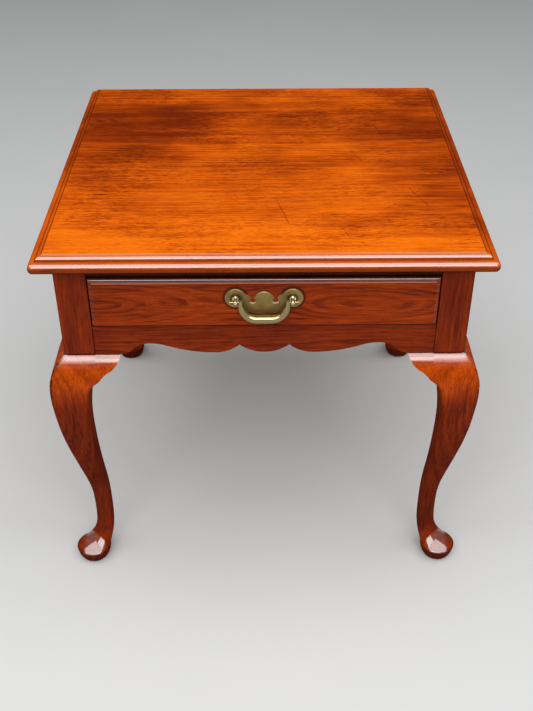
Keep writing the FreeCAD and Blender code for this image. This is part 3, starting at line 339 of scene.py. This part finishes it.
# Legs: each one stick of cherry, sawn to the cabriole curve and shaped by hand down to its pad foot.
# The grain runs down the leg, and the arris of the knee carries a few dark nicks.
CHERRY_TONES = (
    (0.0, (0.08, 0.007, 0.0015, 1.0)),
    (0.35, (0.19, 0.019, 0.002, 1.0)),
    (0.65, (0.32, 0.036, 0.002, 1.0)),
    (1.0, (0.55, 0.074, 0.003, 1.0)),
)
PORE_COLOUR = (0.05, 0.009, 0.003, 1.0)
# Dark glaze for joints and nicks, which also serves as painted shade in gaps and under overhangs
GLAZE_AND_SHADE = (0.02, 0.004, 0.002, 1.0)


def toned_cherry(figure, tone):
    """Red-brown toner over cherry, darker in the pores."""
    return (figure["pore"] * 0.4).blend(tone.ramp(CHERRY_TONES), PORE_COLOUR)


def finish_cherry(finish, figure, colour, polish):
    """The coloured wood under its lacquer, with its fibres and pores just felt."""
    finish.set(Base_Color=colour)
    lacquer(finish, 0.2 + figure["mottle"] * 0.1, polish)
    finish.bump(figure["fibre"] * 0.4 - figure["pore"], WOOD_RELIEF)


KNEE_TOP = 0.4
POST_INNER_FACE = 0.2355
FOOT_MIDDLE = 0.2779
leg_wood = Finish("leg_cherry")
x, y, z = leg_wood.place.axes()
heart = (abs(x) - 0.225).apart(abs(y) - 0.215)
figure = grain(leg_wood.place, 2, heart, 0.006, 0.012)
# Painted light: the knees and feet are painted paler, as if lit from above, the calves darker in painted shade,
# and the feet's sides under the rim darkest, in painted shade
knee = z.rise(0.31, 0.365) * z.rise(0.402, 0.399)
shaded_calf = z.rise(0.34, 0.2)
foot = z.rise(0.05, 0.035)
shaded_foot_side = z.rise(0.0203, 0.0188)
tone = mixed(figure, ring=0.15, streak=0.24, mottle=0.26, fibre=0.2, dash=-0.2, line=-0.09) - 0.03
tone = tone + knee * 0.42 - shaded_calf * 0.16 + foot * 0.24 - shaded_foot_side * 0.42
colour = toned_cherry(figure, tone)

# Glaze beside the aprons and over the knee, and nicks on the arris, most of them on the front left knee
off_post = abs(abs(x) - POST_INNER_FACE).least(abs(abs(y) - POST_INNER_FACE))
seam = off_post.rise(0.0011, 0.0004) * z.rise(KNEE_TOP - 0.0005, KNEE_TOP)
quirk = z.near(KNEE_TOP + 0.0002, 0.0012, 0.0004)
arris = abs(abs(x) - abs(y)).rise(0.006, 0.001) * z.rise(0.325, 0.345) * z.rise(0.398, 0.388)
knocked = x.rise(-0.1, -0.2) * y.rise(-0.1, -0.2)
chip = (leg_wood.place.stretch(220.0, 220.0, 120.0).noise(3.0, 0.6) + knocked * 0.1).rise(0.56, 0.62) * arris
colour = (seam * 0.85).most(quirk * 0.85).most(chip * 0.9).blend(colour, GLAZE_AND_SHADE)

# Polish is left on the ledges of the knees and feet, but not where the feet's outer sides are scuffed
scuffed = (abs(x) - FOOT_MIDDLE).rise(0.009, 0.017) * z.rise(0.06, 0.04)
sideways = abs(leg_wood.facing()[0]).rise(0.3, 0.6) * z.rise(0.38, 0.39)
finish_cherry(leg_wood, figure, colour, ledges(leg_wood) * (1.0 - scuffed.most(sideways) * 0.92))
leg_wood.wear(*[name for name in nodes if name.startswith("leg_")])


# Knee blocks: short cherry blocks glued to both sides of each knee, carved to run the knee's curve
# out under the apron. Their grain also runs up and down, so they match the leg.
leg_wood.wear(*[name for name in nodes if name.startswith("knee_block_")])


# Aprons and front rail: cherry boards tenoned into the posts, the lower edges sawn to scallops.
# Their grain runs along the board, and their inner faces never had a finish.
RAW_DARK = (0.20, 0.085, 0.03, 1.0)
RAW_PALE = (0.50, 0.26, 0.11, 1.0)


def apron_finish(name, along, across, lip=0.0):
    """Apron wood along an axis. lip is the strength of the painted shadow under the drawer front and under the
    top, around the drawer's opening.
    """
    finish = Finish(name)
    axes = finish.place.axes()
    heart = (axes[2] - 0.40).apart(abs(axes[across]) - 0.23)
    figure = grain(finish.place, along, heart, 0.006, 0.03)
    tone = mixed(figure, ring=0.26, streak=0.28, mottle=0.2, fibre=0.2, dash=-0.24, line=-0.2) - 0.055
    seam = abs(axes[along]).rise(0.2345, 0.2351)
    # Painted shadow under the drawer front's lower edge, and under the top across the front rail
    drawer_shadow = axes[2].rise(0.4461, 0.4470) * axes[2].rise(0.4502, 0.4498)
    top_shadow = axes[2].rise(0.5236, 0.5240)
    inner_face = abs(axes[across]).rise(0.2602, 0.2600)
    colour = toned_cherry(figure, tone)
    colour = (seam * 0.85).most(drawer_shadow.most(top_shadow * 0.82) * lip).blend(colour, GLAZE_AND_SHADE)
    colour = bared(inner_face, colour, tone, RAW_DARK, RAW_PALE)
    finish_cherry(finish, figure, colour, ledges(finish))
    return finish


apron_finish("apron_cherry", along=0, across=1, lip=0.95).wear("front_apron", "front_top_rail")
apron_finish("back_apron_cherry", along=0, across=1).wear("apron_back")
apron_finish("side_apron_cherry", along=1, across=0).wear("apron_left", "apron_right")


# Slides, the strips under the top, and the drawer's sides and back: plain poplar, planed and left bare.
# The strips and slides are screwed or glued inside the case, and the drawer's corners are dovetailed.
inner_wood = Finish("bare_poplar")
x, y, z = inner_wood.place.axes()
heart = (abs(x) - 0.20).apart(z - 0.40)
figure = grain(inner_wood.place, 1, heart, 0.006, 0.02)
colour = mixed(figure, ring=0.4, streak=0.35, mottle=0.25).ramp((
    (0.0, (0.30, 0.19, 0.085, 1.0)),
    (0.5, (0.48, 0.33, 0.17, 1.0)),
    (1.0, (0.62, 0.46, 0.27, 1.0)),
))
inner_wood.set(Base_Color=colour, Roughness=0.62 + figure["fibre"] * 0.15)
inner_wood.bump(figure["fibre"], 0.00012)
inner_wood.wear("kicker_left", "kicker_right", "drawer_runner_left", "drawer_runner_right",
                "drawer_guide_left", "drawer_guide_right", "drawer_stop_left", "drawer_stop_right",
                "drawer_side_left", "drawer_side_right", "back_cleat", "drawer_back")


# Drawer front: one flat-sawn cherry board, dovetailed to the drawer's sides and moulded on three edges.
# Its figure opens into an eye right of the middle, with grime and painted shadow around the pull, and painted
# shade in the gaps at its edges.
EYE_X = 0.13
PULL_X = 0.0381
PULL_Z = 0.495
FINISH_END_Y = -0.2745
# A painted shade for the moulding's strip, a painted highlight for its arris, and grime with painted shadow for
# around the pull
SHADED_STRIP = (0.06, 0.010, 0.006, 1.0)
DRAWER_ARRIS_HIGHLIGHT = (0.62, 0.22, 0.11, 1.0)
PULL_GRIME_AND_SHADOW = (0.05, 0.008, 0.003, 1.0)
front_wood = Finish("drawer_front_cherry")
x, y, z = front_wood.place.axes()
eye = (x - EYE_X) * 17.5
heart = (z - 0.484).apart(0.022 - eye.math("COSINE", eye) * 0.011)
figure = grain(front_wood.place, 0, heart, 0.0050, 0.014)
tone = mixed(figure, ring=0.22, streak=0.2, mottle=0.2, fibre=0.18, dash=-0.24, line=-0.34) + 0.18
colour = toned_cherry(figure, tone)

# The moulding: a shiny strip along the top, darkened by painted shade under the top's overhang, a painted
# highlight on the arris under it, and two plain ends
ends = abs(x).rise(0.2284, 0.2290)
strip = z.rise(0.5178, 0.5184) * (1.0 - ends)
crest = z.rise(0.5210, 0.5216)
arris = z.near(0.5175, 0.0010, 0.0003) * (1.0 - abs(x).rise(0.2280, 0.2286))
moulding = (ends * 0.08).most(strip * 0.36 + crest * 0.4)
colour = (strip * 0.5).blend(colour, SHADED_STRIP)
colour = (arris * 0.8).blend(colour, DRAWER_ARRIS_HIGHLIGHT)

# Grime with painted shadow around the pull's plate, and painted shade in the gaps at the edges of the board and
# under the top's overhang
around_lobe = (abs(x) - PULL_X).apart(z - PULL_Z).rise(0.0192, 0.0165)
under_plate = ((x / 0.037) ** 2.0 + ((z - 0.489) / 0.0265) ** 2.0).rise(1.0, 0.8) * z.rise(0.487, 0.481)
shaded_edges = abs(x).rise(0.2331, 0.2341).most(z.rise(0.4519, 0.4509)).most(z.rise(0.5228, 0.5238))
behind = y.rise(FINISH_END_Y, FINISH_END_Y + 0.001)
colour = (around_lobe.most(under_plate) * 0.75).blend(colour, PULL_GRIME_AND_SHADOW)
colour = (shaded_edges * y.rise(FINISH_END_Y, FINISH_END_Y - 0.003) * 0.85).blend(colour, GLAZE_AND_SHADE)
colour = bared(behind, colour, tone, RAW_DARK, RAW_PALE)
finish_cherry(front_wood, figure, colour, ledges(front_wood).most(moulding) * (1.0 - behind))
front_wood.wear("drawer_front")


# Drawer bottom: a thin plywood panel, slid into the grooves of the sides and front
# and nailed up into the drawer's back. Its face veneer is broad-ringed and unfinished.
panel_wood = Finish("plywood_panel")
x, y, z = panel_wood.place.axes()
heart = (x - 0.03).apart(z - 0.43)
figure = grain(panel_wood.place, 1, heart, 0.008, 0.04)
colour = mixed(figure, ring=0.5, streak=0.3, mottle=0.2).ramp((
    (0.0, (0.34, 0.21, 0.10, 1.0)),
    (1.0, (0.60, 0.43, 0.24, 1.0)),
))
panel_wood.set(Base_Color=colour, Roughness=0.5 + figure["fibre"] * 0.15)
panel_wood.wear("drawer_bottom")


# Backplate of the pull: stamped sheet brass, an even brown patina on its face and a rubbed rim with a painted
# highlight.
# The two posts pass through it and hold it to the drawer front.
def brass(name, clean, dull, patchy, roughness, dirt_and_painted_light=None):
    """Brass between clean and dull, tarnished in patches. dirt_and_painted_light, if given, adds dirt, painted
    shadow, painted highlights and painted reflections to the colour.
    """
    finish = Finish(name)
    cloud = finish.place.stretch(110.0, 110.0, 110.0).noise(4.0, 0.6).rise(0.36, 0.66)
    speck = finish.place.stretch(800.0, 800.0, 800.0).noise(2.0).rise(0.6, 0.75)
    tarnish = (cloud * patchy + speck * 0.3).least(1.0)
    colour = tarnish.blend(clean, dull)
    if dirt_and_painted_light:
        colour = dirt_and_painted_light(finish, colour)
    finish.set(Base_Color=colour, Metallic=1.0 - tarnish * 0.2, Roughness=roughness + tarnish * 0.16)
    finish.bump(speck * -1.0 - cloud * 0.3, 0.00003)
    return finish


KEYHOLE_X = 0.0154
KEYHOLE_Z = 0.4919
POST_DIRT_AND_SHADOW = (0.06, 0.03, 0.012, 1.0)
RUBBED_RIM_HIGHLIGHT = (0.48, 0.38, 0.18, 1.0)
NOTCH_LIP_HIGHLIGHT = (0.86, 0.76, 0.55, 1.0)


def plate_dirt_and_highlights(finish, colour):
    """Dirt and painted shadow around the posts, a rubbed bevel with a painted highlight, and painted highlights on
    the lower lips of the two keyhole notches.
    """
    x, y, z = finish.place.axes()
    post = (abs(x) - PULL_X).apart(z - (PULL_Z - 0.0005)).rise(0.0105, 0.0055)
    bevel = finish.facing()[1].rise(-0.95, -0.8)
    lip = (abs(x) - KEYHOLE_X).apart(z - KEYHOLE_Z).rise(0.0056, 0.0046) * z.rise(0.4900, 0.4888)
    colour = (post * 0.8).blend(colour, POST_DIRT_AND_SHADOW)
    colour = bevel.blend(colour, RUBBED_RIM_HIGHLIGHT)
    return lip.blend(colour, NOTCH_LIP_HIGHLIGHT)


brass("aged_brass", clean=(0.34, 0.235, 0.085, 1.0), dull=(0.24, 0.165, 0.06, 1.0), patchy=0.8,
      roughness=0.44, dirt_and_painted_light=plate_dirt_and_highlights).wear("pull_backplate")


# Posts: turned brass, screwed through the front with a nut behind, their noses left bright.
# Each has an eye across it for one of the bail's pins.
brass("bright_brass", clean=(0.95, 0.84, 0.62, 1.0), dull=(0.60, 0.46, 0.22, 1.0), patchy=0.4,
      roughness=0.18).wear("pull_post_left", "pull_post_right")


# Bail: a cast brass loop, thick in the middle, which hangs from its two pins in the posts' eyes.
# Its upper faces carry a painted reflection of the warm wood, and its lower faces a painted dark reflection.
TOP_WARM_REFLECTION = (0.40, 0.28, 0.085, 1.0)
BELLY_DARK_REFLECTION = (0.22, 0.17, 0.07, 1.0)


def bail_reflections(finish, colour):
    """A painted reflection of the warm wood on the upper faces and a painted dark reflection on the lower ones, so
    that only the front is bright.
    """
    up = finish.facing()[2]
    colour = up.rise(0.60, 0.76).blend(colour, TOP_WARM_REFLECTION)
    return (up.rise(0.36, 0.10) * 0.85).blend(colour, BELLY_DARK_REFLECTION)


brass("bail_brass", clean=(0.84, 0.68, 0.36, 1.0), dull=(0.52, 0.39, 0.15, 1.0), patchy=0.5,
      roughness=0.15, dirt_and_painted_light=bail_reflections).wear("pull_bail")


# Nuts, washers and brads: plated steel. The nuts draw the posts up tight from inside the drawer,
# and the brads hold the panel up to the drawer's back.
steel = Finish("plated_steel")
cloud = steel.place.stretch(300.0, 300.0, 300.0).noise(3.0)
steel.set(Base_Color=cloud.blend((0.35, 0.35, 0.36, 1.0), (0.62, 0.62, 0.63, 1.0)), Metallic=1.0,
          Roughness=0.3 + cloud * 0.2)
steel.wear("pull_nuts", "bottom_brads")


# Screws: plated steel wood screws with countersunk slotted heads, driven from below into the top and
# from inside the case through the drawer guides. Each is turned home to its own angle.
screw_group = bpy.data.node_groups.new("driven_screws", "GeometryNodeTree")
sockets = screw_group.interface
sockets.new_socket("Geometry", in_out="INPUT", socket_type="NodeSocketGeometry")
screw_keys = {}
for key, kind in (("Head Radius", "Float"), ("Shank Radius", "Float"), ("Head Depth", "Float"),
                  ("Length", "Float"), ("Slot Width", "Float"), ("Finish", "Material")):
    screw_keys[key] = sockets.new_socket(key, in_out="INPUT", socket_type="NodeSocket" + kind).identifier
sockets.new_socket("Geometry", in_out="OUTPUT", socket_type="NodeSocketGeometry")
given = screw_group.nodes.new("NodeGroupInput").outputs
marks, head_radius, shank_radius, head_depth, length, slot_width, plating = [
    Shade(screw_group, socket) for socket in given[:7]]

# A cylinder of five rings, each brought to its place and radius from the head down to the point
POINT_RADIUS = 0.0003
blank = marks.node("GeometryNodeMeshCylinder", {"fill_type": "NGON"},
                   {"Vertices": 28, "Side Segments": 4, "Radius": 1.0, "Depth": 4.0})
spot_x, spot_y, spot_z = marks.node("GeometryNodeInputPosition").axes()
ring = marks.node("FunctionNodeFloatToInt", {"rounding_mode": "ROUND"}, {0: spot_z + 2.0})
radius = marks.node("GeometryNodeIndexSwitch", {"data_type": "FLOAT", "choices": 5},
                    {0: ring, 1: head_radius, 2: shank_radius, 3: shank_radius, 4: shank_radius, 5: POINT_RADIUS})
height = marks.node("GeometryNodeIndexSwitch", {"data_type": "FLOAT", "choices": 5},
                    {0: ring, 1: 0.0, 2: head_depth, 3: length * 0.5, 4: length * 0.78, 5: length})
turned = marks.vector(spot_x * radius, spot_y * radius, height)
body = marks.node("GeometryNodeSetPosition", sockets={"Geometry": blank, "Position": turned})

# The slot is cut, and a screw set at each mark along its aim
blade = marks.node("GeometryNodeMeshCube",
                   sockets={"Size": marks.vector(slot_width, head_radius * 3.0, head_depth * 0.9)})
screw = marks.node("GeometryNodeMeshBoolean", {"operation": "DIFFERENCE", "solver": "EXACT"},
                   {0: body, 1: blade})
aim = marks.node("GeometryNodeInputNamedAttribute", {"data_type": "FLOAT_VECTOR"}, {"Name": "aim"})
along_aim = marks.node("FunctionNodeAlignRotationToVector", {"axis": "Z"}, {"Vector": aim})
turns = marks.node("FunctionNodeRandomValue", {"data_type": "FLOAT"}, {2: 0.0, 3: 3.14, "Seed": 5}, output=1)
twist = marks.node("FunctionNodeAxisAngleToRotation", sockets={"Axis": (0.0, 0.0, 1.0), "Angle": turns})
driven = marks.node("FunctionNodeRotateRotation", {"rotation_space": "LOCAL"}, {0: along_aim, 1: twist})
copies = marks.node("GeometryNodeInstanceOnPoints",
                    sockets={"Points": marks, "Instance": screw, "Rotation": driven})
whole = marks.node("GeometryNodeRealizeInstances", sockets={0: copies})
dressed = marks.node("GeometryNodeSetMaterial", sockets={"Geometry": whole, "Material": plating})
screw_group.links.new(dressed.socket, screw_group.nodes.new("NodeGroupOutput").inputs[0])


def drive(stands_for, heads, sizes):
    """Put one screw at each head, pointing the way given, in place of the CAD's plain ones."""
    name = "slotted_" + stands_for
    places = bpy.data.meshes.new(name + "_heads")
    places.from_pydata([place for place, way in heads], [], [])
    aims = places.attributes.new("aim", "FLOAT_VECTOR", "POINT")
    for mark, (place, way) in zip(aims.data, heads):
        mark.vector = way
    holder = bpy.data.objects.new(name + "_marks", places)
    bpy.context.scene.collection.objects.link(holder)
    modifier = holder.modifiers.new("driven", "NODES")
    modifier.node_group = screw_group
    for key, size in sizes.items():
        modifier[screw_keys[key]] = size
    modifier[screw_keys["Finish"]] = steel.material
    made = bpy.data.meshes.new_from_object(holder.evaluated_get(bpy.context.evaluated_depsgraph_get()))
    bpy.data.objects.remove(holder)
    made.name = name
    piece = bpy.data.objects.new(name, made)
    bpy.context.scene.collection.objects.link(piece)
    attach(piece, "case")
    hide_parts(stands_for)


SCREW_SIZES = {"Head Radius": 0.0041, "Shank Radius": 0.002, "Head Depth": 0.0021, "Slot Width": 0.0011}
RAIL_UNDERSIDE = 0.525
FRONT_RAIL_Y, BACK_CLEAT_Y, KICKER_X = -0.256, 0.2504, 0.2377
GUIDE_FACE_X, GUIDE_MIDDLE_Z = 0.2355, 0.4583
RAIL_SPREAD, SIDE_SPREAD = 0.12, 0.13
UP = (0, 0, 1)
top_heads = []
guide_heads = []
for hand in (-1, 1):
    top_heads += [((hand * RAIL_SPREAD, rail_y, RAIL_UNDERSIDE), UP) for rail_y in (FRONT_RAIL_Y, BACK_CLEAT_Y)]
    top_heads += [((hand * KICKER_X, end * SIDE_SPREAD, RAIL_UNDERSIDE), UP) for end in (-1, 1)]
    guide_heads += [((hand * GUIDE_FACE_X, end * SIDE_SPREAD, GUIDE_MIDDLE_Z), (hand, 0, 0)) for end in (-1, 0, 1)]
drive("top_screws", top_heads, dict(SCREW_SIZES, Length=0.029))
drive("guide_screws", guide_heads, dict(SCREW_SIZES, Length=0.034))


# Studio: a matt pale floor under the feet and a dim even surround. Two softboxes light the table,
# a wide one overhead and one high in front.
FLOOR_HALF = 14.0
SURROUND = (0.95, 0.98, 1.0, 1.0)
SURROUND_STRENGTH = 0.25
floor_mesh = bpy.data.meshes.new("floor")
floor_mesh.from_pydata([(-FLOOR_HALF, -FLOOR_HALF, 0), (FLOOR_HALF, -FLOOR_HALF, 0),
                        (FLOOR_HALF, FLOOR_HALF, 0), (-FLOOR_HALF, FLOOR_HALF, 0)], [], [(0, 1, 2, 3)])
floor = bpy.data.objects.new("floor", floor_mesh)
bpy.context.scene.collection.objects.link(floor)
floor_paint = Finish("pale_floor")
soil = floor_paint.place.stretch(3.0, 3.0, 3.0).noise(3.0)
floor_paint.set(Base_Color=soil.blend((0.66, 0.66, 0.655, 1.0), (0.70, 0.70, 0.695, 1.0)), Roughness=0.9)
floor_mesh.materials.append(floor_paint.material)

world = bpy.data.worlds.new("surround")
world.use_nodes = True
background = world.node_tree.nodes["Background"].inputs
background["Color"].default_value = SURROUND
background["Strength"].default_value = SURROUND_STRENGTH
bpy.context.scene.world = world


def softbox(name, place, target, width, length, power):
    light = bpy.data.lights.new(name, "AREA")
    light.shape = "RECTANGLE"
    light.size = width
    light.size_y = length
    light.energy = power
    lamp = bpy.data.objects.new(name, light)
    lamp.location = place
    lamp.rotation_euler = (Vector(target) - Vector(place)).to_track_quat("-Z", "Y").to_euler()
    bpy.context.scene.collection.objects.link(lamp)


softbox("overhead_softbox", (0.0, -0.6, 3.1), (0.0, -0.6, 0.0), width=5.6, length=2.4, power=87.0)
softbox("front_softbox", (0.0, -2.55, 2.55), (0.0, -0.1, 0.4), width=3.2, length=1.9, power=56.0)


# Camera: at the photograph's height, tilt and focal length, as fitted to the edges of the top, the posts
# and the feet. It stands in front of the table and looks down on it.
PITCH, YAW, ROLL = math.radians(36.093), math.radians(0.0996), math.radians(-0.2551)
EYE = (0.0009, -1.3831, 1.2008)
FOCAL_PIXELS, FRAME_PIXELS, SENSOR = 978.56, 711.0, 36.0
ahead = Vector((math.sin(YAW) * math.cos(PITCH), math.cos(YAW) * math.cos(PITCH), -math.sin(PITCH)))
right = Vector((math.cos(YAW), -math.sin(YAW), 0.0))
up = right.cross(ahead)
rolled_right = math.cos(ROLL) * right + math.sin(ROLL) * up
rolled_up = -math.sin(ROLL) * right + math.cos(ROLL) * up
lens = bpy.data.cameras.new("camera")
lens.sensor_width = SENSOR
lens.lens = FOCAL_PIXELS / FRAME_PIXELS * SENSOR
camera = bpy.data.objects.new("camera", lens)
turn = Matrix((rolled_right, rolled_up, -ahead)).transposed().to_4x4()
camera.matrix_world = Matrix.Translation(EYE) @ turn
bpy.context.scene.collection.objects.link(camera)
bpy.context.scene.camera = camera
bpy.context.scene.view_settings.view_transform = "Standard"
